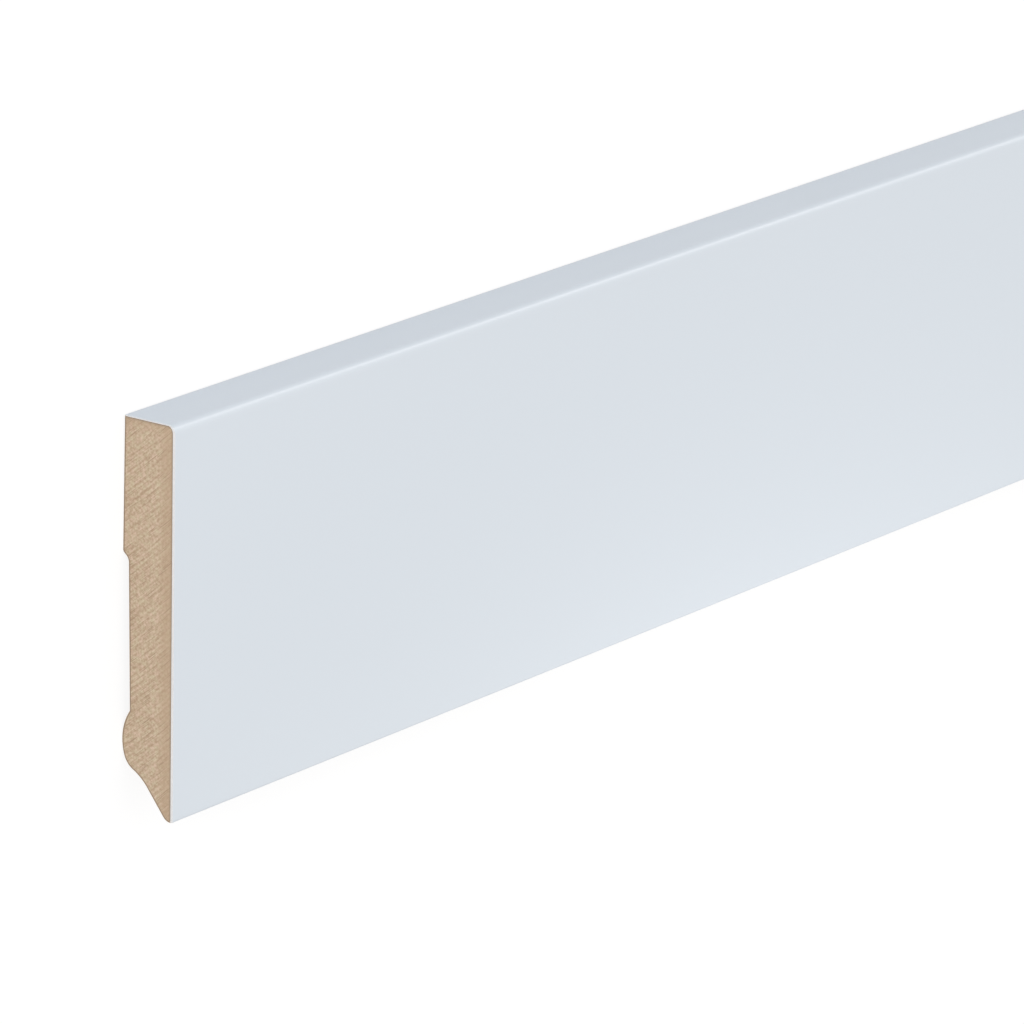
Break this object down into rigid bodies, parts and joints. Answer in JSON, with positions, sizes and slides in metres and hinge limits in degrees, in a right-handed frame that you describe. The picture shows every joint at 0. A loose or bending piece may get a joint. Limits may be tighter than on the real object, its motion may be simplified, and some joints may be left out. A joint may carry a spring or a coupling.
{
  "type": "skirting board length",
  "caption": "Straight length of white-coated fibreboard skirting with a flat face, a rounded top arris and a moulded back with a shallow relief, a heel and a sloped toe.",
  "frame": {"origin": "on the wall line of the moulded back, half way along the board and half way up its height", "axes": "+X along the length, +Y towards the board's top edge, +Z out of the white face; the board lies on its back"},
  "size_m": [2.4, 0.095, 0.015],
  "materials": {
    "white_coated_mdf": "satin"
  },
  "bodies": {
    "root": {"skirting_board": "white_coated_mdf"}
  },
  "joints": []
}
